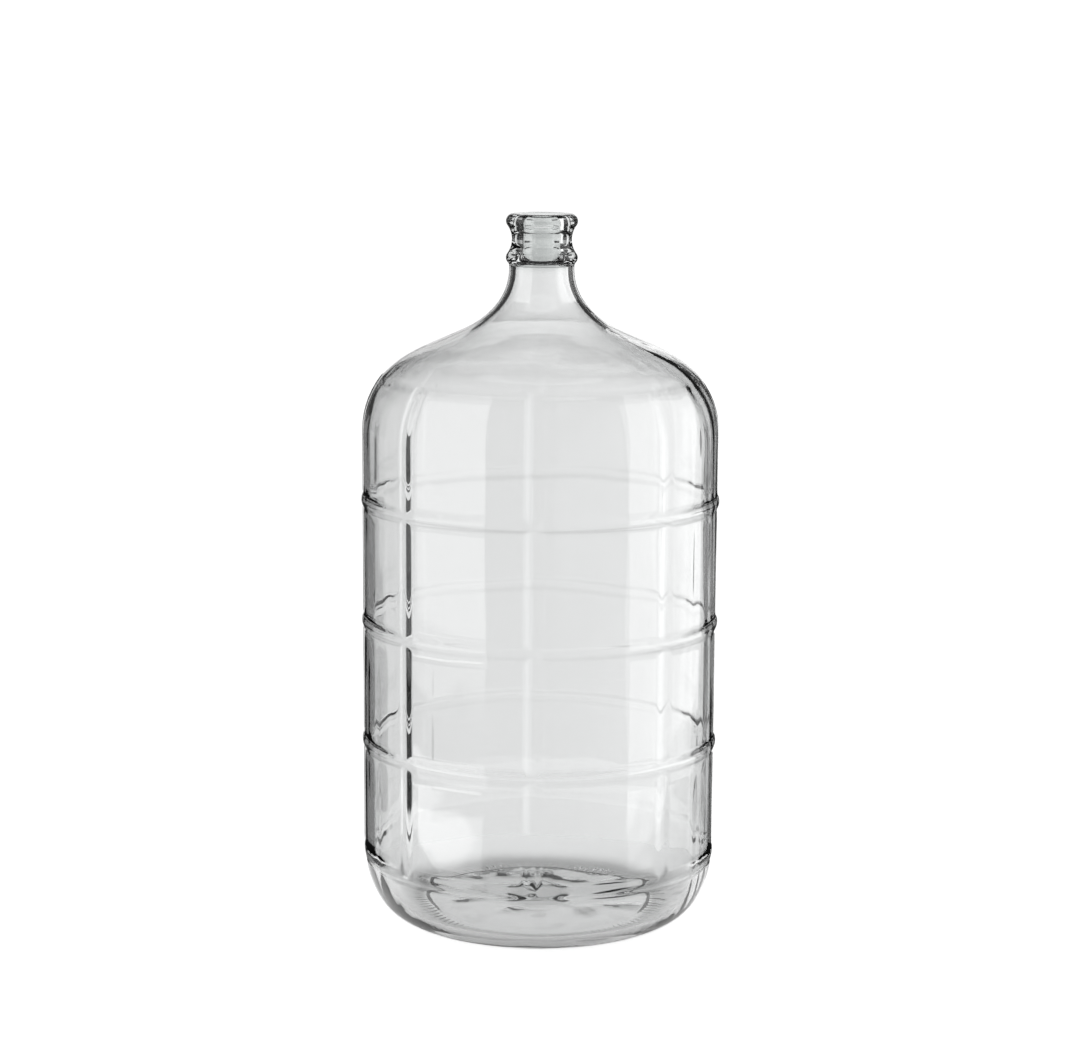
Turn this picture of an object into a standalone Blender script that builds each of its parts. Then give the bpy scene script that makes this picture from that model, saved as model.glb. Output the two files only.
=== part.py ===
"""Glass carboy for home winemaking and brewing, about 6 US gallons (23 litres).

One blown and moulded piece of thick clear glass. It is a hollow vessel, open at the mouth:
a flat bearing ring round a pushed-up bottom, a rounded heel, a straight barrel, a rounded
shoulder, a slender neck, and a finish made of a bead ring, a waist and a thick rolled lip.
A grid of raised ribs strengthens the barrel: five rings, and eight upright staves between
the lowest ring and the highest. The neck bore takes a tapered bung or an airlock.

Frame: metres, +Z up, origin at the centre of the bearing ring, on the surface it stands on.
"""

import math

import bmesh
import bpy

# ---- Driving dimensions (metres, degrees) ------------------------------------------------

NAME = "glass_carboy"

HEIGHT = 0.5480             # standing surface to the flat land on top of the lip
BODY_R = 0.1370             # outside of the barrel wall, between the ribs
BEARING_OUTER_R = 0.0995    # flat ring that it stands on
BEARING_INNER_R = 0.0910
RECESS_RISE = 0.0024        # underside inside the bearing ring, above the standing surface

TOE_R = 0.0264              # heel, from the bearing ring up to the barrel: three arcs
TOE_HEADING = 22.3
HEEL_R = 0.0355
HEEL_HEADING = 58.0

BARREL_TOP_Z = 0.3814       # where the shoulder's curve begins
SHOULDER_R = 0.0672         # round corner of the shoulder
SHOULDER_HEADING = 150.3
SLOPE_R = 0.1805            # nearly straight slope above it
SLOPE_HEADING = 156.3
FILLET_R = 0.0653           # hollow curve that sweeps up into the neck: two arcs
FILLET_HEADING = 126.9
NECK_FILLET_R = 0.0426
NECK_R = 0.0249             # outside of the neck, under the bead

FINISH_ROUND_R = 0.0057     # the bead ring and the rolled lip are rounded alike
FINISH_CENTRE_R = 0.0217    # radius of the circle that their rounds are centred on
BEAD_Z = 0.5147             # height of the bead ring
BEAD_UNDER_ANGLE = -42.0    # how far the bead's round goes down before it steps in to the neck
WAIST_ROUND_R = 0.0176      # hollow between the bead and the lip, tangent to both
MOUTH_ROUND_R = 0.0035      # rounded inner edge of the lip's flat land

WALL = 0.0050               # barrel, shoulder and neck wall
FLOOR_Z = 0.0080            # inside floor, between the push-up and the heel
PUSH_UP_RISE = 0.0136       # top of the push-up above the floor
PUSH_UP_GLASS = 0.0056      # glass over the push-up
PUSH_UP_CROWN_R = 0.0240
PUSH_UP_SLOPE = 50.0        # steepest slope of its side, in degrees
INNER_TOE_R = 0.0200        # inside of the heel: three arcs
INNER_HEEL_R = 0.0300
INNER_BARREL_FOOT_R = 0.0680
BORE_TOP_R = 0.0147         # tapers a little, for a bung
BORE_FOOT_R = 0.0143
BORE_FOOT_Z = 0.5215
BORE_FOOT_HEADING = 140.0   # steepest part of the S-curve from the neck into the bore

RING_Z = (0.0533, 0.1410, 0.2354, 0.3298, 0.4242)
RING_SHARE = (0.4, 1.0, 1.0, 1.0, 0.3)   # the lowest and the highest ring are fainter
RING_RISE = 0.0015          # ring ribs stand this far out of the wall
RING_FOOT = 0.0126          # width of a rib where it meets the wall
RING_CREST = 0.0034         # width of its flat crest
RING_EDGES = (-RING_FOOT / 2, -RING_CREST / 2, RING_CREST / 2, RING_FOOT / 2)
STAVES = 8
STAVE_RISE = 0.0009
STAVE_WIDTH = 0.0104
STAVE_DEPTH = 0.0028        # thickness of a stave; the inner part is buried in the wall
STAVE_CHAMFER = 0.0008
STAVE_STEPS = 4             # facets across a stave
STAVE_TURN = -2.0           # degrees that the staves are turned from the +X axis

STEPS = 56                  # facets round the axis, a multiple of STAVES
OUTER_ARC_STEP = 13.0       # degrees of turn between two stations of an arc
INNER_ARC_STEP = 20.0
MERGE = 0.00001             # joins only the points that lie on the axis
CLOSEST_STATIONS = 0.003    # an ordinary station nearer than this to a rib's edge is left out


# ---- A path in the (radius, height) plane ------------------------------------------------
# A path is a list of pieces, each (length, radius, height, heading, curvature). A heading of
# 0 points outwards, 90 points up. The wall's outward normal is the heading turned right.


def piece_at(piece, distance):
    """Point and heading on one piece, at a distance from its start."""
    _, radius, height, heading, curvature = piece
    if curvature == 0.0:
        return (radius + distance * math.cos(heading), height + distance * math.sin(heading), heading)
    end = heading + curvature * distance
    radius += (math.sin(end) - math.sin(heading)) / curvature
    height -= (math.cos(end) - math.cos(heading)) / curvature
    return radius, height, end


def path_end(path):
    return piece_at(path[-1], path[-1][0])


def start_path(radius, height, heading):
    return [(0.0, radius, height, math.radians(heading), 0.0)]


def run(path, length):
    """Adds a straight piece."""
    path.append((length, *path_end(path), 0.0))


def turn(path, bend_radius, heading):
    """Adds an arc that ends at the given heading."""
    start = path_end(path)
    change = math.radians(heading) - start[2]
    length = abs(change) * bend_radius
    path.append((length, *start, change / length))


def path_length(path):
    return sum(piece[0] for piece in path)


def path_at(path, distance):
    for piece in path:
        if distance <= piece[0] + 1e-9:
            return piece_at(piece, distance)
        distance -= piece[0]
    return path_end(path)


def distance_at_height(path, height):
    """Distance along a rising path at which it reaches a height."""
    low = 0.0
    high = path_length(path)
    for _ in range(60):
        middle = (low + high) / 2
        if path_at(path, middle)[1] < height:
            low = middle
        else:
            high = middle
    return low


def stations(path, arc_step):
    """Distances of the ends of the pieces, and of points every few degrees along the arcs."""
    found = [0.0]
    distance = 0.0
    for length, _, _, _, curvature in path:
        if length == 0.0:
            continue
        count = max(1, round(abs(math.degrees(curvature * length)) / arc_step))
        found += [distance + length * (index + 1) / count for index in range(count)]
        distance += length
    return found


def offset_point(path, distance, rise):
    """Point at a distance along the path, moved out along the wall's normal."""
    radius, height, heading = path_at(path, distance)
    return radius + rise * math.sin(heading), height - rise * math.cos(heading)


# ---- The vessel's section ----------------------------------------------------------------


def outer_path():
    """Outside of the wall from the bearing ring up to the neck, without the ribs."""
    path = start_path(BEARING_OUTER_R, 0.0, 0)
    turn(path, TOE_R, TOE_HEADING)
    turn(path, HEEL_R, HEEL_HEADING)
    # The uppermost heel arc takes up what is left of the width, so that the barrel is BODY_R.
    left = BODY_R - path_end(path)[0]
    turn(path, left / (1 - math.sin(math.radians(HEEL_HEADING))), 90)
    run(path, BARREL_TOP_Z - path_end(path)[1])
    add_shoulder(path, 0.0, NECK_R)
    return path


def add_shoulder(path, wall, neck_radius):
    """Shoulder, slope and fillets: round curves shrink and hollow ones grow by the wall."""
    turn(path, SHOULDER_R - wall, SHOULDER_HEADING)
    turn(path, SLOPE_R - wall, SLOPE_HEADING)
    slope = math.radians(SLOPE_HEADING)
    middle = math.radians(FILLET_HEADING)
    inwards = (FILLET_R + wall) * (math.sin(middle) - math.sin(slope))
    inwards += (NECK_FILLET_R + wall) * (1 - math.sin(middle))
    run(path, (neck_radius + inwards - path_end(path)[0]) / math.cos(slope))
    turn(path, FILLET_R + wall, FILLET_HEADING)
    turn(path, NECK_FILLET_R + wall, 90)


def add_push_up(path, crown_radius, foot_height):
    """Round crown on the axis, and the hollow foot that levels out at a height."""
    drop = path_end(path)[1] - foot_height
    foot_radius = drop / (1 - math.cos(math.radians(PUSH_UP_SLOPE))) - crown_radius
    turn(path, crown_radius, -PUSH_UP_SLOPE)
    turn(path, foot_radius, 0)


def add_inner_heel(path):
    """The inside of the heel, three arcs that follow the outside's."""
    toe = math.sin(math.radians(TOE_HEADING))
    heel = math.sin(math.radians(HEEL_HEADING))
    reach = INNER_TOE_R * toe + INNER_HEEL_R * (heel - toe) + INNER_BARREL_FOOT_R * (1 - heel)
    run(path, BODY_R - WALL - reach - path_end(path)[0])
    turn(path, INNER_TOE_R, TOE_HEADING)
    turn(path, INNER_HEEL_R, HEEL_HEADING)
    turn(path, INNER_BARREL_FOOT_R, 90)


def inner_path():
    """Inside of the wall, from the top of the push-up on the axis up to the bore's foot."""
    path = start_path(0.0, FLOOR_Z + PUSH_UP_RISE, 0)
    add_push_up(path, PUSH_UP_CROWN_R, FLOOR_Z)
    add_inner_heel(path)
    run(path, BARREL_TOP_Z - path_end(path)[1])
    add_shoulder(path, WALL, NECK_R - WALL)
    # An S-curve narrows the neck to the bore.
    narrowing = path_end(path)[0] - BORE_FOOT_R
    steepest = math.radians(BORE_FOOT_HEADING)
    bend = narrowing / 2 / (1 - math.sin(steepest))
    run(path, BORE_FOOT_Z + 2 * bend * math.cos(steepest) - path_end(path)[1])
    turn(path, bend, BORE_FOOT_HEADING)
    turn(path, bend, 90)
    return path


def underside_path():
    """Underside of the push-up, from the axis out to the recess inside the bearing ring."""
    path = start_path(0.0, FLOOR_Z + PUSH_UP_RISE - PUSH_UP_GLASS, 0)
    add_push_up(path, PUSH_UP_CROWN_R - PUSH_UP_GLASS, RECESS_RISE)
    run(path, BEARING_INNER_R - RECESS_RISE - path_end(path)[0])
    return path


def arc(centre_radius, centre_height, radius, start, end, count):
    """Points of an arc about a centre, from one angle to another, in degrees."""
    points = []
    for index in range(count + 1):
        angle = math.radians(start + (end - start) * index / count)
        radial = centre_radius + radius * math.cos(angle)
        points.append((radial, centre_height + radius * math.sin(angle)))
    return points


def ring_rise(path, distance):
    """Height of the ring ribs over the wall: a flat crest with a sloping flank each side."""
    rise = 0.0
    for height, share in zip(RING_Z, RING_SHARE):
        away = abs(distance - distance_at_height(path, height))
        flank = (RING_FOOT / 2 - away) / ((RING_FOOT - RING_CREST) / 2)
        rise = max(rise, share * RING_RISE * min(1.0, flank))
    return rise


def wall_points(path):
    """Outside of the wall with its ring ribs, from the bearing ring up to the neck."""
    middles = [distance_at_height(path, height) for height in RING_Z]
    edges = [middle + side for middle in middles for side in RING_EDGES]
    plain = []
    for distance in stations(path, OUTER_ARC_STEP):
        clear_of_edges = min(abs(distance - edge) for edge in edges) > CLOSEST_STATIONS
        clear_of_rings = min(abs(distance - middle) for middle in middles) > RING_FOOT / 2
        if clear_of_edges and clear_of_rings:
            plain.append(distance)
    return [offset_point(path, d, ring_rise(path, d)) for d in sorted(plain + edges)]


def finish_points():
    """Outside of the bead, the waist and the lip, upwards, and over the land into the bore."""
    lip_z = HEIGHT - FINISH_ROUND_R
    half = (lip_z - BEAD_Z) / 2
    reach = WAIST_ROUND_R + FINISH_ROUND_R
    tangent = math.degrees(math.asin(half / reach))
    waist_centre_r = FINISH_CENTRE_R + math.sqrt(reach**2 - half**2)
    points = arc(FINISH_CENTRE_R, BEAD_Z, FINISH_ROUND_R, BEAD_UNDER_ANGLE, tangent, 3)
    # The neck reaches up to the step under the bead.
    points.insert(0, (NECK_R, points[0][1] - (points[0][0] - NECK_R)))
    waist = arc(waist_centre_r, BEAD_Z + half, WAIST_ROUND_R, 180 + tangent, 180 - tangent, 5)
    points += waist[1:-1]
    points += arc(FINISH_CENTRE_R, lip_z, FINISH_ROUND_R, -tangent, 90, 5)
    mouth_r = BORE_TOP_R + MOUTH_ROUND_R
    points += arc(mouth_r, HEIGHT - MOUTH_ROUND_R, MOUTH_ROUND_R, 90, 180, 2)
    return points


def section_points():
    """The whole section, from the floor's middle up the inside, and down the outside."""
    inner = inner_path()
    inside = [offset_point(inner, d, 0.0) for d in stations(inner, INNER_ARC_STEP)]
    upwards = wall_points(outer_path()) + finish_points()
    under = underside_path()
    below = [offset_point(under, d, 0.0) for d in stations(under, INNER_ARC_STEP)]
    below.append((BEARING_INNER_R, 0.0))
    return inside + upwards[::-1] + below[::-1]


# ---- Objects -----------------------------------------------------------------------------


def clear_scene():
    for obj in list(bpy.data.objects):
        bpy.data.objects.remove(obj, do_unlink=True)


def new_collection(name):
    collection = bpy.data.collections.new(name)
    bpy.context.scene.collection.children.link(collection)
    return collection


def glass_material():
    """Thick colourless bottle glass, with the faint grey of its depth."""
    material = bpy.data.materials.new("clear_glass")
    material.use_nodes = True
    shader = material.node_tree.nodes["Principled BSDF"]
    shader.inputs["Base Color"].default_value = (0.93, 0.94, 0.94, 1.0)
    shader.inputs["Metallic"].default_value = 0.0
    shader.inputs["Roughness"].default_value = 0.02
    shader.inputs["IOR"].default_value = 1.52
    shader.inputs["Transmission Weight"].default_value = 1.0
    return material


def polyline_object(name, points, collection):
    """An open polyline in the XZ plane, as the profile of a turned shape."""
    mesh = bpy.data.meshes.new(name)
    lines = bmesh.new()
    previous = None
    for radius, height in points:
        vertex = lines.verts.new((radius, 0.0, height))
        if previous is not None:
            lines.edges.new((previous, vertex))
        previous = vertex
    lines.to_mesh(mesh)
    lines.free()
    obj = bpy.data.objects.new(name, mesh)
    collection.objects.link(obj)
    return obj


def add_screw(obj, degrees, steps):
    screw = obj.modifiers.new("turn", "SCREW")
    screw.axis = "Z"
    screw.angle = math.radians(degrees)
    screw.steps = steps
    screw.render_steps = steps
    screw.use_merge_vertices = True
    screw.merge_threshold = MERGE
    screw.use_smooth_shade = True


def make_vessel(collection):
    """The turned vessel. A facet corner lies on the middle of every stave."""
    vessel = polyline_object(NAME, section_points(), collection)
    vessel.rotation_euler.z = math.radians(STAVE_TURN)
    add_screw(vessel, 360.0, STEPS)
    vessel.data.materials.append(glass_material())
    return vessel


def stave_points():
    """Crest line of a stave, from the middle of the highest ring down to the lowest."""
    path = outer_path()
    low = distance_at_height(path, RING_Z[0])
    high = distance_at_height(path, RING_Z[-1])
    between = [d for d in stations(path, OUTER_ARC_STEP) if low < d - CLOSEST_STATIONS]
    between = [d for d in between if d + CLOSEST_STATIONS < high]
    return [offset_point(path, d, STAVE_RISE) for d in [high] + between[::-1] + [low]]


def make_stave(index, collection):
    """One upright rib: a narrow turned strip along the wall, thickened into the wall."""
    stave = polyline_object(f"stave_{index}", stave_points(), collection)
    width = math.degrees(STAVE_WIDTH / BODY_R)
    middle = STAVE_TURN + index * 360.0 / STAVES
    stave.rotation_euler.z = math.radians(middle - width / 2)
    add_screw(stave, width, STAVE_STEPS)
    solid = stave.modifiers.new("thickness", "SOLIDIFY")
    solid.thickness = STAVE_DEPTH
    solid.offset = -1.0
    bevel = stave.modifiers.new("flanks", "BEVEL")
    bevel.width = STAVE_CHAMFER
    bevel.segments = 1
    bevel.limit_method = "ANGLE"
    bevel.angle_limit = math.radians(60)
    stave.hide_render = True
    stave.display_type = "WIRE"
    return stave


def join_staves(vessel, staves):
    join = vessel.modifiers.new("staves", "BOOLEAN")
    join.operation = "UNION"
    join.solver = "EXACT"
    join.operand_type = "COLLECTION"
    join.collection = staves


def main():
    clear_scene()
    parts = new_collection("glass_carboy_parts")
    staves = new_collection("stave_solids")
    vessel = make_vessel(parts)
    for index in range(STAVES):
        make_stave(index, staves)
    join_staves(vessel, staves)


main()
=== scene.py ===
"""Looks of the glass carboy: thick clear blown glass in a bright, plain studio.

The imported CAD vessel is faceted. One smooth glass piece stands for it here: the same section,
with rounded ribs, the unevenness of blown glass, and the fine grooves of the bearing ring.
"""

import math

import bpy
from mathutils import Matrix, Vector, noise


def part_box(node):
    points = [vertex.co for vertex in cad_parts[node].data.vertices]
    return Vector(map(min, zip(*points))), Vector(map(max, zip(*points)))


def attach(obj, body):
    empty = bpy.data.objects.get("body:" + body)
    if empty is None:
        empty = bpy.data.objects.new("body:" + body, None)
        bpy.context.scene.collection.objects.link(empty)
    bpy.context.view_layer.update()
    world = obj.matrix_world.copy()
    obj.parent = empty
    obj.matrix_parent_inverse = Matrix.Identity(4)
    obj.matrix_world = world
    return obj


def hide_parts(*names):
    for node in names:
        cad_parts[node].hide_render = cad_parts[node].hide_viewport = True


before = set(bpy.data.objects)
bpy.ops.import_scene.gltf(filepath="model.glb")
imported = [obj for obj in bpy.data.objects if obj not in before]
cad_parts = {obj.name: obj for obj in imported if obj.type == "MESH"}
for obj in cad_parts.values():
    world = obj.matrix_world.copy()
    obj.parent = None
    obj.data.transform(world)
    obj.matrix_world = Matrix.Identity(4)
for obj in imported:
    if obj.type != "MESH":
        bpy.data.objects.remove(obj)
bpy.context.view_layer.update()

NODE = "glass_carboy"
BODY = "root"

CAD_LOW, CAD_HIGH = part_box(NODE)

# ---- Driving dimensions (metres, degrees), as the CAD model has them -----------------------

HEIGHT = CAD_HIGH.z
RING_RISE = 0.0015          # ring ribs stand this far out of the wall
BODY_R = (CAD_HIGH.x - CAD_LOW.x) / 2 - RING_RISE

BEARING_OUTER_R = 0.0995
BEARING_INNER_R = 0.0910
RECESS_RISE = 0.0024        # underside inside the bearing ring
RECESS_ROUND_R = 0.0025
RECESS_SLOPE = 42.0

TOE_R = 0.0264              # heel: three arcs
TOE_HEADING = 22.3
HEEL_R = 0.0355
HEEL_HEADING = 58.0

BARREL_TOP_Z = 0.3814
SHOULDER_R = 0.0672
SHOULDER_HEADING = 150.3
SLOPE_R = 0.1805
SLOPE_HEADING = 156.3
FILLET_R = 0.0653           # hollow curve up into the neck: two arcs
FILLET_HEADING = 126.9
NECK_FILLET_R = 0.0426
NECK_R = 0.0249

FINISH_ROUND_R = 0.0057     # the bead ring and the rolled lip are rounded alike
FINISH_CENTRE_R = 0.0217
BEAD_Z = 0.5147
BEAD_HEADING = 48.0         # where the bead leaves the hollow under it
WAIST_ROUND_R = 0.0176
MOUTH_ROUND_R = 0.0035

WALL = 0.0050
FLOOR_Z = 0.0080
PUSH_UP_RISE = 0.0136
PUSH_UP_GLASS = 0.0056
PUSH_UP_CROWN_R = 0.0240
PUSH_UP_SLOPE = 50.0
INNER_TOE_R = 0.0200        # inside of the heel: three arcs
INNER_HEEL_R = 0.0300
INNER_BARREL_FOOT_R = 0.0680
BORE_TOP_R = 0.0147
BORE_FOOT_R = 0.0143
BORE_FOOT_Z = 0.5215
BORE_FOOT_HEADING = 140.0

RING_Z = (0.0533, 0.1410, 0.2354, 0.3298, 0.4242)
RING_SHARE = (0.4, 1.0, 1.0, 1.0, 0.3)   # the lowest and the highest are fainter
RING_FOOT = 0.0140
RING_CREST = 0.0010
STAVES = 8
STAVE_RISE = 0.0011
STAVE_FOOT = 0.0160
STAVE_CREST = 0.0020
STAVE_TURN = -2.0           # degrees that the staves are turned from the +X axis
CRISP_SIDE = -137.0         # degrees round the axis, where the staves came out crispest
CRISP_MEAN = 0.6
CRISP_SWING = 0.4

KNURLS = 112                # short radial grooves round the bearing ring
KNURL_DEPTH = 0.0002
KNURL_MIDDLE_R = 0.0955
KNURL_HALF_LENGTH = 0.0075
KNURL_TOP_Z = RING_Z[0] / 4

# ---- Unevenness of blown glass (metres) ----------------------------------------------------
# Waves are kinds of (distance between two of them, depth, shift of their pattern).

OUTER_WAVES = ((0.055, 0.0003, (0.0, 0.0, 0.0)),)
WALL_WAVES = ((0.150, 0.0005, (0.0, 0.0, 0.0)), (0.050, 0.0002, (0.3, 0.0, 0.0)))
PUDDLE_WAVES = ((0.026, 0.0018, (0.0, 0.5, 0.0)), (0.012, 0.0004, (0.0, 0.0, 0.0)))
PUDDLE_R = 0.085            # the bottom's inside is swirled out to here
PUDDLE_FADE = 0.030         # and a little further, ever less
STREAK_WIDTH = 0.010
STREAK_LENGTH = 0.160
STREAK_DEPTH = 0.00003
SEAM_STREAK_DEPTH = (0.00022, 0.0006)   # more of it at the mould's seams, on the left and right
SEAM_SHARPNESS = 6
LEAN = 0.0005               # high up, the wall is this much thicker on the right, thinner on the left
LEAN_HIGH_Z = 0.2900
LEAN_LOW_Z = 0.1700         # below here it is the other way about

# ---- Fineness of the mesh ------------------------------------------------------------------

TINY = 1e-9
HALVINGS = 60               # of a length, to find a height on a path
ARC_STEP = 6.0              # degrees of turn between two rows of an arc
LONGEST_ROW = 0.0080        # widest gap between two rows
RIB_ROWS = 12               # rows across a ring rib
ROW_CLEARANCE = 1.1         # other rows stay this many half widths away from a ring rib
STAVE_COLUMNS = 14          # columns across a stave, and the plain stretch between two
STAVE_SPAN = 8.0            # degrees round the axis that those columns cover
PLAIN_COLUMNS = 28
FINE_COLUMNS = 4            # the bearing ring has this many columns for each ordinary one


# ---- A path in the (radius, height) plane --------------------------------------------------
# A path is a list of pieces, each (length, radius, height, heading, curvature). A heading of
# 0 points outwards, 90 points up. The outward normal is the heading turned right.


def piece_at(piece, distance):
    """Point and heading on one piece, at a distance from its start."""
    _, radius, height, heading, curvature = piece
    if curvature == 0.0:
        return (radius + distance * math.cos(heading), height + distance * math.sin(heading), heading)
    end = heading + curvature * distance
    radius += (math.sin(end) - math.sin(heading)) / curvature
    height -= (math.cos(end) - math.cos(heading)) / curvature
    return radius, height, end


def path_end(path):
    return piece_at(path[-1], path[-1][0])


def start_path(radius, height, heading):
    return [(0.0, radius, height, math.radians(heading), 0.0)]


def run(path, length):
    """Adds a straight piece."""
    path.append((length, *path_end(path), 0.0))


def turn(path, bend_radius, heading):
    """Adds an arc that ends at the given heading."""
    start = path_end(path)
    change = math.radians(heading) - start[2]
    length = abs(change) * bend_radius
    path.append((length, *start, change / length))


def path_length(path):
    return sum(piece[0] for piece in path)


def path_at(path, distance):
    for piece in path:
        if distance <= piece[0] + TINY:
            return piece_at(piece, distance)
        distance -= piece[0]
    return path_end(path)


def distance_at_height(path, height, low):
    """Distance past a low point of a rising stretch, at which the path reaches a height."""
    high = path_length(path)
    for _ in range(HALVINGS):
        middle = (low + high) / 2
        if path_at(path, middle)[1] < height:
            low = middle
        else:
            high = middle
    return low


def rows_along(path):
    """Distances of the ends of the pieces, and of the rows between them."""
    found = [0.0]
    distance = 0.0
    for length, _, _, _, curvature in path:
        if length == 0.0:
            continue
        by_turn = abs(math.degrees(curvature * length)) / ARC_STEP
        count = math.ceil(max(by_turn, length / LONGEST_ROW))
        found += [distance + length * (index + 1) / count for index in range(count)]
        distance += length
    return found


# ---- The vessel's section ------------------------------------------------------------------


def add_push_up(path, crown_radius, foot_height):
    """Round crown on the axis, and the hollow foot that levels out at a height."""
    drop = path_end(path)[1] - foot_height
    foot_radius = drop / (1 - math.cos(math.radians(PUSH_UP_SLOPE))) - crown_radius
    turn(path, crown_radius, -PUSH_UP_SLOPE)
    turn(path, foot_radius, 0)


def add_shoulder(path, wall, neck_radius):
    """Shoulder, slope and fillets: round curves shrink and hollow ones grow by the wall."""
    turn(path, SHOULDER_R - wall, SHOULDER_HEADING)
    turn(path, SLOPE_R - wall, SLOPE_HEADING)
    slope = math.radians(SLOPE_HEADING)
    middle = math.radians(FILLET_HEADING)
    inwards = (FILLET_R + wall) * (math.sin(middle) - math.sin(slope))
    inwards += (NECK_FILLET_R + wall) * (1 - math.sin(middle))
    run(path, (neck_radius + inwards - path_end(path)[0]) / math.cos(slope))
    turn(path, FILLET_R + wall, FILLET_HEADING)
    turn(path, NECK_FILLET_R + wall, 90)


def add_bearing_ring(path):
    """Steps down from the recess to the flat ring that the vessel stands on."""
    slope = math.radians(RECESS_SLOPE)
    straight = (RECESS_RISE - 2 * RECESS_ROUND_R * (1 - math.cos(slope))) / math.sin(slope)
    inwards = 2 * RECESS_ROUND_R * math.sin(slope) + straight * math.cos(slope)
    run(path, BEARING_INNER_R - inwards - path_end(path)[0])
    turn(path, RECESS_ROUND_R, -RECESS_SLOPE)
    run(path, straight)
    turn(path, RECESS_ROUND_R, 0)
    run(path, BEARING_OUTER_R - path_end(path)[0])


def add_finish(path):
    """Bead ring, waist and rolled lip, over the flat land and round into the bore."""
    lip_z = HEIGHT - FINISH_ROUND_R
    half = (lip_z - BEAD_Z) / 2
    tangent = math.degrees(math.asin(half / (WAIST_ROUND_R + FINISH_ROUND_R)))
    under = math.radians(BEAD_HEADING)
    bead_r = FINISH_CENTRE_R + FINISH_ROUND_R * math.sin(under)
    bead_z = BEAD_Z - FINISH_ROUND_R * math.cos(under)
    hollow_r = (bead_r - NECK_R) / (1 - math.sin(under))
    run(path, bead_z - hollow_r * math.cos(under) - path_end(path)[1])
    turn(path, hollow_r, BEAD_HEADING)
    turn(path, FINISH_ROUND_R, 90 + tangent)
    turn(path, WAIST_ROUND_R, 90 - tangent)
    turn(path, FINISH_ROUND_R, 180)
    run(path, path_end(path)[0] - BORE_TOP_R - MOUTH_ROUND_R)
    turn(path, MOUTH_ROUND_R, 270)


def outer_path():
    """Outside of the glass: from the axis under the push-up, up the wall, and over the lip."""
    path = start_path(0.0, FLOOR_Z + PUSH_UP_RISE - PUSH_UP_GLASS, 0)
    add_push_up(path, PUSH_UP_CROWN_R - PUSH_UP_GLASS, RECESS_RISE)
    add_bearing_ring(path)
    turn(path, TOE_R, TOE_HEADING)
    turn(path, HEEL_R, HEEL_HEADING)
    left = BODY_R - path_end(path)[0]
    turn(path, left / (1 - math.sin(math.radians(HEEL_HEADING))), 90)
    run(path, BARREL_TOP_Z - path_end(path)[1])
    add_shoulder(path, 0.0, NECK_R)
    add_finish(path)
    return path


def add_inner_heel(path):
    """The inside of the heel, three arcs that follow the outside's."""
    toe, heel = math.sin(math.radians(TOE_HEADING)), math.sin(math.radians(HEEL_HEADING))
    reach = INNER_TOE_R * toe + INNER_HEEL_R * (heel - toe) + INNER_BARREL_FOOT_R * (1 - heel)
    run(path, BODY_R - WALL - reach - path_end(path)[0])
    turn(path, INNER_TOE_R, TOE_HEADING)
    turn(path, INNER_HEEL_R, HEEL_HEADING)
    turn(path, INNER_BARREL_FOOT_R, 90)


def inner_path():
    """Inside of the glass: from the top of the push-up on the axis, up to the mouth."""
    path = start_path(0.0, FLOOR_Z + PUSH_UP_RISE, 0)
    add_push_up(path, PUSH_UP_CROWN_R, FLOOR_Z)
    add_inner_heel(path)
    run(path, BARREL_TOP_Z - path_end(path)[1])
    add_shoulder(path, WALL, NECK_R - WALL)
    narrowing = path_end(path)[0] - BORE_FOOT_R
    steepest = math.radians(BORE_FOOT_HEADING)
    bend = narrowing / 2 / (1 - math.sin(steepest))
    run(path, BORE_FOOT_Z + 2 * bend * math.cos(steepest) - path_end(path)[1])
    turn(path, bend, BORE_FOOT_HEADING)
    turn(path, bend, 90)
    run(path, HEIGHT - 2 * MOUTH_ROUND_R - path_end(path)[1])
    return path


# ---- Relief of the two surfaces ------------------------------------------------------------


def ease(value):
    """0 below 0, 1 above 1, and a smooth step between."""
    value = min(1.0, max(0.0, value))
    return value * value * (3 - 2 * value)


def rib(away, foot, crest):
    """Cross-section of a rib of unit height, at a distance from its middle line."""
    return ease((foot / 2 - abs(away)) / ((foot - crest) / 2))


def stave_away(angle, radius):
    """Distance round the wall from the nearest stave's middle."""
    spacing = math.tau / STAVES
    turned = (angle - math.radians(STAVE_TURN)) / spacing
    return (turned - round(turned)) * spacing * radius


def crispness(angle):
    """The mould's ribs came out crisper on the front left than on the back right."""
    return CRISP_MEAN + CRISP_SWING * math.cos(angle - math.radians(CRISP_SIDE))


def knurl(radius, height, angle):
    """Depth of the grooves round the bearing ring, zero elsewhere."""
    if height > KNURL_TOP_Z:
        return 0.0
    along = ease((KNURL_HALF_LENGTH - abs(radius - KNURL_MIDDLE_R)) / (KNURL_HALF_LENGTH / 2))
    return KNURL_DEPTH * along * (0.5 + 0.5 * math.cos(KNURLS * angle)) ** 2


def waves(point, kinds):
    """Slow unevenness, the sum of a few kinds of waves."""
    return sum(depth * noise.noise((point + Vector(shift)) / size) for size, depth, shift in kinds)


def outer_rise(row, angle):
    """How far the outside stands out of the plain wall, along its normal."""
    radius, height, _, ring, stave_band = row
    stave = STAVE_RISE * stave_band * rib(stave_away(angle, radius), STAVE_FOOT, STAVE_CREST)
    rise = max(RING_RISE * ring, stave * crispness(angle)) - knurl(radius, height, angle)
    point = Vector((radius * math.cos(angle), radius * math.sin(angle), height))
    uneven = ease((radius - NECK_R) / NECK_R) * ease(height / RING_Z[0])
    return rise - uneven * abs(waves(point, OUTER_WAVES))


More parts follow.
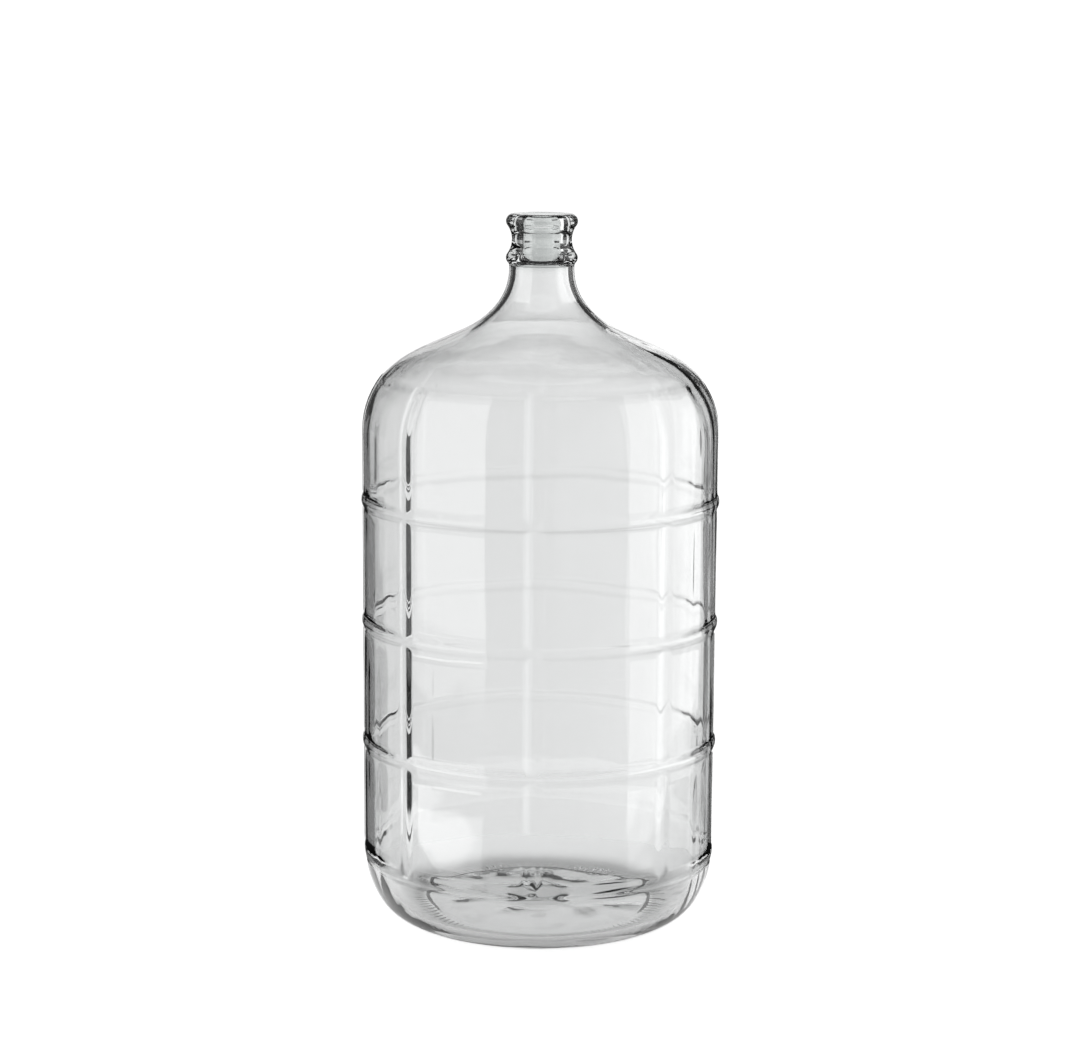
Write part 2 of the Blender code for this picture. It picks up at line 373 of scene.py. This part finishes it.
def streaks(point, angle):
    """Upright streaks in the wall, strongest where the mould's halves met, on the X axis."""
    left, right = SEAM_STREAK_DEPTH
    at_seam = math.cos(angle) ** SEAM_SHARPNESS
    depth = STREAK_DEPTH + (right if math.cos(angle) > 0 else left) * at_seam
    drawn_out = (point.x / STREAK_WIDTH, point.y / STREAK_WIDTH, point.z / STREAK_LENGTH)
    return depth * noise.noise(Vector(drawn_out))


def lean(height, angle):
    """The wall is thicker on the right high up, and on the left lower down."""
    side = 2 * ease((height - LEAN_LOW_Z) / (LEAN_HIGH_Z - LEAN_LOW_Z)) - 1
    return LEAN * side * math.cos(angle)


def inner_rise(row, angle):
    """How far the inside stands out of its plain shape, into the glass. The wall varies with it."""
    radius, height, _, _, _ = row
    point = Vector((radius * math.cos(angle), radius * math.sin(angle), height))
    below_bore = ease((radius - BORE_TOP_R) / (BODY_R / 3))
    uneven = waves(point, WALL_WAVES) + streaks(point, angle) - lean(height, angle)
    low = 1 - ease((height - FLOOR_Z) / RING_Z[0])
    puddled = low * (1 - ease((radius - PUDDLE_R) / PUDDLE_FADE))
    return below_bore * uneven + puddled * waves(point, PUDDLE_WAVES)


# ---- Mesh of the vessel --------------------------------------------------------------------


def outer_rows(path):
    """Rows (radius, height, heading, ring rib, stave band) up the outside."""
    foot = distance_at_height(path, RECESS_RISE, path_length(path) / 6)
    rings = [distance_at_height(path, height, foot) for height in RING_Z]
    clear = RING_FOOT / 2 * ROW_CLEARANCE
    found = [row for row in rows_along(path) if min(abs(row - ring) for ring in rings) > clear]
    steps = [RING_FOOT * (index / RIB_ROWS - 0.5) for index in range(RIB_ROWS + 1)]
    found += [ring + step for ring in rings for step in steps]
    rows = []
    for distance in sorted(found):
        ribs = [rib(distance - middle, RING_FOOT, RING_CREST) for middle in rings]
        ring = max(share * rise for share, rise in zip(RING_SHARE, ribs))
        inside = min(distance - rings[0], rings[-1] - distance)
        stave_band = ease(inside / RING_CREST + 1)
        rows.append((*path_at(path, distance), ring, stave_band))
    return rows


def inner_rows(path):
    """Rows up the inside, which has no ribs."""
    return [(*path_at(path, distance), 0.0, 0.0) for distance in rows_along(path)]


def column_angles():
    """Angles of the columns round the axis, closer together on the staves."""
    spacing = 360 / STAVES
    angles = []
    for stave in range(STAVES):
        middle = STAVE_TURN + stave * spacing
        steps = [index / STAVE_COLUMNS - 0.5 for index in range(STAVE_COLUMNS)]
        angles += [middle + STAVE_SPAN * step for step in steps]
        plain = spacing - STAVE_SPAN
        start = middle + STAVE_SPAN / 2
        angles += [start + plain * index / PLAIN_COLUMNS for index in range(PLAIN_COLUMNS)]
    return [math.radians(angle) for angle in angles]


def finer(angles):
    """The same columns with more between them."""
    found = []
    for index, angle in enumerate(angles):
        following = angles[index + 1] if index + 1 < len(angles) else angles[0] + math.tau
        found += [angle + (following - angle) * part / FINE_COLUMNS for part in range(FINE_COLUMNS)]
    return found


def ring_of_points(row, angles, rise):
    """One row of the mesh round the axis, or a single point on the axis."""
    radius, height, heading, _, _ = row
    if radius < TINY:
        return [(0.0, 0.0, height)]
    points = []
    for angle in angles:
        out = rise(row, angle)
        reach = radius + out * math.sin(heading)
        level = height - out * math.cos(heading)
        points.append((reach * math.cos(angle), reach * math.sin(angle), level))
    return points


def join_rows(low, high):
    """Faces between two rows of point numbers. A row may be a single point, or a finer one."""
    if len(low) == 1:
        return [(low[0], high[i], high[i - 1]) for i in range(len(high))]
    if len(high) == 1:
        return [(high[0], low[i - 1], low[i]) for i in range(len(low))]
    if len(low) == len(high):
        return [(low[i - 1], low[i], high[i], high[i - 1]) for i in range(len(low))]
    if len(low) > len(high):
        return [face[::-1] for face in join_rows(high, low)]
    share = len(high) // len(low)
    faces = []
    for i in range(len(low)):
        near, far = low[i], low[(i + 1) % len(low)]
        fan = [high[(i * share + part) % len(high)] for part in range(share + 1)]
        half = share // 2
        faces += [(near, fan[part + 1], fan[part]) for part in range(half)]
        faces.append((near, far, fan[half]))
        faces += [(far, fan[part + 1], fan[part]) for part in range(half, share)]
    return faces


def is_knurled(row):
    """Whether a row crosses the grooves, or lies just beside them."""
    near = abs(row[0] - KNURL_MIDDLE_R) < KNURL_HALF_LENGTH * 1.1
    return near and row[1] < RECESS_RISE * 1.2


def vessel_mesh():
    """The closed skin of the glass: up the outside, over the lip, and down the inside."""
    columns = column_angles()
    fine = finer(columns)
    outside = [(row, fine if is_knurled(row) else columns, outer_rise)
               for row in outer_rows(outer_path())]
    inside = [(row, columns, inner_rise) for row in inner_rows(inner_path())]
    points, faces, previous = [], [], None
    for row, angles, rise in outside + inside[::-1]:
        ring = ring_of_points(row, angles, rise)
        numbers = list(range(len(points), len(points) + len(ring)))
        points += ring
        if previous is not None:
            faces += join_rows(previous, numbers)
        previous = numbers
    mesh = bpy.data.meshes.new("carboy_glass")
    mesh.from_pydata(points, [], faces)
    mesh.validate()
    mesh.shade_smooth()
    return mesh


# ---- Materials -----------------------------------------------------------------------------


CLEAR_TINT = (0.895, 0.900, 0.900, 1.0)
THICK_TINT = (0.770, 0.785, 0.780, 1.0)
HEEL_TINT_SHARE = 0.12      # how much of the thick glass's tint the bottom has
THICK_FROM_Z = BEAD_Z - 0.012
THICK_FULL_Z = BEAD_Z - 0.004
GLASS_IOR = 1.52
RIPPLE_DEPTH = 0.00002
RIPPLE_SCALE = 45.0         # ripples in a metre, and how much sparser they are upwards
RIPPLE_STRETCH = 0.35

WHITE = (1.0, 1.0, 1.0, 1.0)
TABLE_WHITE = (0.80, 0.80, 0.80, 1.0)
TABLE_ROUGHNESS = 0.8
TABLE_R = 0.20
TABLE_DROP = 0.0005         # the table is this far below the bearing ring
TABLE_CORNERS = 96
SHADE_R = 0.150             # the painted shade round the foot ends here
SHADE_SOFT = 0.003
TABLE_GLOW = 0.74           # light from the table: away from the vessel,
CONTACT_SHADOW_GLOW = 0.28         # where the bearing ring touches it, a painted contact shadow,
UNDER_SHADE_GLOW = 0.58           # under the vessel, painted shade,
SEEN_GLOW = 0.85            # and as seen directly


class Sums:
    """Short names for the arithmetic nodes of one node tree."""

    def __init__(self, tree):
        self.nodes = tree.nodes
        self.links = tree.links

    def put(self, socket, value):
        if isinstance(value, (int, float)):
            socket.default_value = value
        else:
            self.links.new(value, socket)

    def math(self, operation, *values):
        node = self.nodes.new("ShaderNodeMath")
        node.operation = operation
        for index, value in enumerate(values):
            self.put(node.inputs[index], value)
        return node.outputs[0]

    def times(self, first, *others):
        for other in others:
            first = self.math("MULTIPLY", first, other)
        return first

    def most(self, first, *others):
        for other in others:
            first = self.math("MAXIMUM", first, other)
        return first

    def angle(self, operation, *values):
        """An inverse function's result in degrees."""
        return self.math("DEGREES", self.math(operation, *values))

    def ramp(self, value, low, high, to_low, to_high):
        """Smooth step of a value between two of its levels."""
        node = self.nodes.new("ShaderNodeMapRange")
        node.interpolation_type = "SMOOTHSTEP"
        self.put(node.inputs["Value"], value)
        node.inputs["From Min"].default_value = low
        node.inputs["From Max"].default_value = high
        node.inputs["To Min"].default_value = to_low
        node.inputs["To Max"].default_value = to_high
        return node.outputs["Result"]

    def since(self, value, start, soft):
        """1 from the start, 0 before it, with a soft step just ahead of it."""
        return self.ramp(value, start - soft, start, 0.0, 1.0)

    def until(self, value, end, soft):
        """1 up to the end, 0 after it, with a soft step just past it."""
        return self.ramp(value, end, end + soft, 1.0, 0.0)

    def between(self, value, start, end, soft):
        return self.times(self.since(value, start, soft), self.until(value, end, soft))


def new_material(name):
    material = bpy.data.materials.new(name)
    material.use_nodes = True
    return material, material.node_tree.nodes, material.node_tree.links


def glass_tint(sums, height):
    """Clear glass, deeper in the thick lip and bead, and a little in the thick heel."""
    thick = sums.most(sums.ramp(height, 0.0, RING_Z[0], HEEL_TINT_SHARE, 0.0),
                      sums.ramp(height, THICK_FROM_Z, THICK_FULL_Z, 0.0, 1.0))
    mix = sums.nodes.new("ShaderNodeMix")
    mix.data_type = "RGBA"
    sums.put(mix.inputs["Factor"], thick)
    for socket in mix.inputs:
        if socket.type == "RGBA":
            socket.default_value = CLEAR_TINT if socket.name == "A" else THICK_TINT
    return [socket for socket in mix.outputs if socket.type == "RGBA"][0]


def glass_ripple(sums, where):
    """Faint uneven skin, drawn out along the height as the glass was blown."""
    stretch = sums.nodes.new("ShaderNodeMapping")
    stretch.inputs["Scale"].default_value = (1.0, 1.0, RIPPLE_STRETCH)
    sums.links.new(where, stretch.inputs["Vector"])
    ripple = sums.nodes.new("ShaderNodeTexNoise")
    ripple.inputs["Scale"].default_value = RIPPLE_SCALE
    ripple.inputs["Detail"].default_value = 1.0
    sums.links.new(stretch.outputs["Vector"], ripple.inputs["Vector"])
    bump = sums.nodes.new("ShaderNodeBump")
    bump.inputs["Strength"].default_value = 1.0
    bump.inputs["Distance"].default_value = RIPPLE_DEPTH
    sums.links.new(ripple.outputs["Fac"], bump.inputs["Height"])
    return bump.outputs["Normal"]


def glass_material():
    """Thick clear bottle glass with the faint ripple of a blown surface."""
    material, nodes, links = new_material("clear_glass")
    shader = nodes["Principled BSDF"]
    shader.inputs["Roughness"].default_value = 0.0
    shader.inputs["IOR"].default_value = GLASS_IOR
    shader.inputs["Transmission Weight"].default_value = 1.0
    sums = Sums(material.node_tree)
    where = nodes.new("ShaderNodeTexCoord").outputs["Object"]
    split = nodes.new("ShaderNodeSeparateXYZ")
    links.new(where, split.inputs[0])
    links.new(glass_tint(sums, split.outputs["Z"]), shader.inputs["Base Color"])
    links.new(glass_ripple(sums, where), shader.inputs["Normal"])
    return material


def table_glow_and_painted_shade(sums, away):
    """Strength of the table's glow at a distance from the axis: painted shade under the vessel and
    round its foot, and a painted contact shadow where the bearing ring stands.
    """
    # Painted shade: the glow drops under the vessel and is lowest at the bearing ring, as a painted
    # contact shadow, then rises again out to SHADE_R.
    under = sums.ramp(away, BEARING_INNER_R, BEARING_INNER_R + SHADE_SOFT, UNDER_SHADE_GLOW, CONTACT_SHADOW_GLOW)
    foot_r = BEARING_OUTER_R - SHADE_SOFT / 3
    return sums.most(under, sums.ramp(away, foot_r, SHADE_R, CONTACT_SHADOW_GLOW, TABLE_GLOW))


def floor_material():
    """Matt white table that glows, lit from below, with painted shade round the vessel's foot and
    under it, and a painted contact shadow at the bearing ring.
    """
    material, nodes, links = new_material("white_table_painted_shade")
    shader = nodes["Principled BSDF"]
    shader.inputs["Base Color"].default_value = TABLE_WHITE
    shader.inputs["Roughness"].default_value = TABLE_ROUGHNESS
    shader.inputs["Emission Color"].default_value = WHITE
    sums = Sums(material.node_tree)
    length = nodes.new("ShaderNodeVectorMath")
    length.operation = "LENGTH"
    links.new(nodes.new("ShaderNodeTexCoord").outputs["Object"], length.inputs[0])
    path = nodes.new("ShaderNodeLightPath")
    seen = sums.times(path.outputs["Is Camera Ray"], SEEN_GLOW)
    glow = sums.most(table_glow_and_painted_shade(sums, length.outputs["Value"]), seen)
    links.new(glow, shader.inputs["Emission Strength"])
    return material


# ---- Studio --------------------------------------------------------------------------------
# Azimuths are degrees from the front, to the right. "Behind" is degrees from straight behind.

SEEN_LIGHT = 1.05           # the backdrop, white, as seen past the vessel
TABLE_LIGHT = 0.46          # what the matt table receives from all round
ROOM_LIGHT = 0.05           # dark room, and darker below the vessel's mouth
LOW_ROOM_LIGHT = 0.015
ROOM_EDGE = -6.0
ROOM_SOFT = 1.6

BACKDROPS = 8               # bright panels round the table, with dark gaps between them
BACKDROP_HALF = 9.0         # degrees, from a panel's middle to its edge
MAIN_BACKDROP_HALF = 13.0   # the panel behind the vessel, as the camera stands
MAIN_BACKDROP_TILT = 1.2    # it is brighter on the right
BACKDROP_SOFT = 1.5
BACKDROP_LIGHT = 1.08
BACKDROP_FOOT = -45.0
BACKDROP_TOP = 32.0
BACKDROP_DIM_EDGE = 9.0     # the panels grow dimmer from this far below the horizon to above it
BACKDROP_HIGH_SHARE = 0.84

WING_LIGHT = 1.15           # wings of the main panel, level with the mouth and near the floor
WING_START = 9.5
WING_END = 39.0
WING_START_SOFT = 1.0
WING_END_SOFT = 3.0
WING_HEIGHTS = ((-6.5, 30.0), (BACKDROP_FOOT, -15.5))

RIM_GLOW = 0.62             # what the rim of the glass mirrors, straight behind,
RIM_GLOW_DIP = 0.33         # dimmer here to the side of that,
RIM_DIP_BEHIND = 30.0
FAR_RIM_GLOW = 0.55         # and brighter again here
FAR_RIM_BEHIND = 45.0
RIM_GLOW_END = 62.0
RIM_GLOW_SOFT = 4.0
RIM_GLOW_HEIGHTS = (-18.0, -4.4)
LEVEL_SOFT = 0.3            # softness of the wings' and the glow's level edges

# Softboxes: azimuths and elevations of their edges, softness of the level edges, and light.
SOFTBOXES = (
    (-87, -36, -13, 60, 1.0, 1.4),
    (-87, -38, -18.0, -17.0, 0.4, 2.2),
    (60, 126, -17, 60, 1.0, 1.4),
)
SOFTBOX_SOFT = 1.5
SOFTBOX_LEAN = 10.0         # degrees that they lean over the vessel

OUTER_SKIN_DEPTH = 2.5      # a mirrored ray that went through more surfaces came from the back


def make_floor():
    """Round table top under the vessel."""
    mesh = bpy.data.meshes.new("floor")
    turns = [math.tau * index / TABLE_CORNERS for index in range(TABLE_CORNERS)]
    rim = [(TABLE_R * math.cos(turn), TABLE_R * math.sin(turn), -TABLE_DROP) for turn in turns]
    mesh.from_pydata(rim, [], [tuple(range(TABLE_CORNERS))])
    floor = bpy.data.objects.new("floor", mesh)
    bpy.context.scene.collection.objects.link(floor)
    mesh.materials.append(floor_material())


class Sky:
    """Where a ray goes, in degrees, and what happened to it on its way."""

    def __init__(self, sums):
        where = sums.nodes.new("ShaderNodeTexCoord")
        split = sums.nodes.new("ShaderNodeSeparateXYZ")
        sums.links.new(where.outputs["Generated"], split.inputs[0])
        self.aside = split.outputs["X"]
        self.front = sums.times(split.outputs["Y"], -1.0)
        self.up = split.outputs["Z"]
        self.azimuth = sums.angle("ARCTAN2", self.aside, self.front)
        self.behind = sums.math("SUBTRACT", 180.0, sums.math("ABSOLUTE", self.azimuth))
        self.elevation = sums.angle("ARCSINE", self.up)
        path = sums.nodes.new("ShaderNodeLightPath")
        depth = path.outputs["Transmission Depth"]
        self.seen = path.outputs["Is Camera Ray"]
        self.scattered = path.outputs["Is Diffuse Ray"]
        self.mirrored = sums.math("GREATER_THAN", path.outputs["Glossy Depth"], 0.5)
        self.straight = sums.math("SUBTRACT", 1.0, self.mirrored)
        inside = sums.math("GREATER_THAN", depth, 0.5)
        self.mirrored_inside = sums.times(self.mirrored, inside)
        near = sums.math("LESS_THAN", depth, OUTER_SKIN_DEPTH)
        self.mirrored_near = sums.times(self.mirrored, near)


def panel_light(sums, sky):
    """The main panel behind the vessel, and for straight rays the panels all round."""
    around = sums.math("PINGPONG", sums.math("ADD", sky.azimuth, 360.0), 180 / BACKDROPS)
    others = sums.times(sums.until(around, BACKDROP_HALF, BACKDROP_SOFT), sky.straight)
    main = sums.times(sums.until(sky.behind, MAIN_BACKDROP_HALF, BACKDROP_SOFT),
                      sums.math("MULTIPLY_ADD", sky.aside, MAIN_BACKDROP_TILT, 1.0))
    dim = sums.ramp(sky.elevation, -BACKDROP_DIM_EDGE, BACKDROP_DIM_EDGE, 1.0, BACKDROP_HIGH_SHARE)
    return sums.times(sums.most(others, main), BACKDROP_LIGHT, dim)


def wing_light(sums, sky):
    """Wings to both sides of the main panel, for straight rays."""
    across = sums.times(sums.since(sky.behind, WING_START, WING_START_SOFT),
                        sums.until(sky.behind, WING_END, WING_END_SOFT))
    heights = [sums.between(sky.elevation, *height, LEVEL_SOFT) for height in WING_HEIGHTS]
    return sums.times(across, sums.most(*heights), sky.straight, WING_LIGHT)


def rim_glow(sums, sky):
    """Weaker light, dimmer and then brighter further round, for rays mirrored inside the glass."""
    near = sums.ramp(sky.behind, 0.0, RIM_DIP_BEHIND, RIM_GLOW, RIM_GLOW_DIP)
    far = sums.ramp(sky.behind, RIM_DIP_BEHIND, FAR_RIM_BEHIND, 0.0, FAR_RIM_GLOW)
    end = sums.until(sky.behind, RIM_GLOW_END, RIM_GLOW_SOFT)
    level = sums.between(sky.elevation, *RIM_GLOW_HEIGHTS, LEVEL_SOFT)
    return sums.times(sums.most(near, far), end, level, sky.mirrored_inside)


def softbox_angles(sums, sky):
    """Azimuth and elevation on a softbox that narrows upwards, as it leans over the vessel."""
    tilt = math.radians(SOFTBOX_LEAN)
    ahead = sums.math("ADD", sky.front, math.cos(tilt))
    over = sums.math("ADD", sky.up, math.sin(tilt))
    squares = sums.math("ADD", sums.times(ahead, ahead), sums.times(sky.aside, sky.aside))
    across = sums.times(sums.angle("ARCTAN2", sky.aside, ahead), 2.0)
    height = sums.times(sums.angle("ARCTAN2", over, sums.math("SQRT", squares)), 2.0)
    return across, sums.math("SUBTRACT", height, SOFTBOX_LEAN)


def softbox_light(sums, sky):
    """The softboxes at the front, for rays mirrored in the near wall."""
    across, height = softbox_angles(sums, sky)
    lights = []
    for left, right, low, high, soft, light in SOFTBOXES:
        shape = sums.times(sums.between(across, left, right, SOFTBOX_SOFT),
                           sums.between(height, low, high, soft))
        lights.append(sums.times(shape, light))
    return sums.times(sums.most(*lights), sky.mirrored_near)


def make_world():
    """White studio. The glass sees bright panels with dark gaps between, and softboxes."""
    world = bpy.data.worlds.new("studio")
    world.use_nodes = True
    bpy.context.scene.world = world
    sums = Sums(world.node_tree)
    sky = Sky(sums)
    panels = sums.most(panel_light(sums, sky), wing_light(sums, sky), rim_glow(sums, sky))
    height = sums.between(sky.elevation, BACKDROP_FOOT, BACKDROP_TOP, BACKDROP_SOFT)
    half = ROOM_SOFT / 2
    room = sums.ramp(sky.elevation, ROOM_EDGE - half, ROOM_EDGE + half, LOW_ROOM_LIGHT, ROOM_LIGHT)
    seen = sums.times(sky.seen, SEEN_LIGHT)
    received = sums.times(sky.scattered, TABLE_LIGHT)
    light = sums.most(sums.times(panels, height), room, softbox_light(sums, sky), seen, received)
    background = sums.nodes["Background"]
    sums.links.new(light, background.inputs["Strength"])
    background.inputs["Color"].default_value = WHITE


# ---- Camera and assembly -------------------------------------------------------------------

CAMERA_BACK = 2.116         # metres from the axis
CAMERA_Z = 0.669
CAMERA_DOWN = 10.79         # degrees below the horizon
CAMERA_ROLL = 0.33
CAMERA_LENS = 92.37         # millimetres
CAMERA_SHIFT = 0.0546       # share of the picture's width


def make_camera():
    data = bpy.data.cameras.new("camera")
    data.lens = CAMERA_LENS
    data.shift_y = CAMERA_SHIFT
    camera = bpy.data.objects.new("camera", data)
    bpy.context.scene.collection.objects.link(camera)
    pitch = Matrix.Rotation(math.radians(90 - CAMERA_DOWN), 3, "X")
    roll = Matrix.Rotation(math.radians(CAMERA_ROLL), 3, "Z")
    camera.rotation_euler = (pitch @ roll).to_euler()
    camera.location = (0.0, -CAMERA_BACK, CAMERA_Z)
    bpy.context.scene.camera = camera
    bpy.context.scene.view_settings.view_transform = "Standard"


def make_vessel():
    """The glass piece, on the vessel's body; the CAD part is hidden."""
    mesh = vessel_mesh()
    mesh.materials.append(glass_material())
    vessel = bpy.data.objects.new("carboy_glass", mesh)
    bpy.context.scene.collection.objects.link(vessel)
    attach(vessel, BODY)
    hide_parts(NODE)


make_vessel()
make_floor()
make_world()
make_camera()
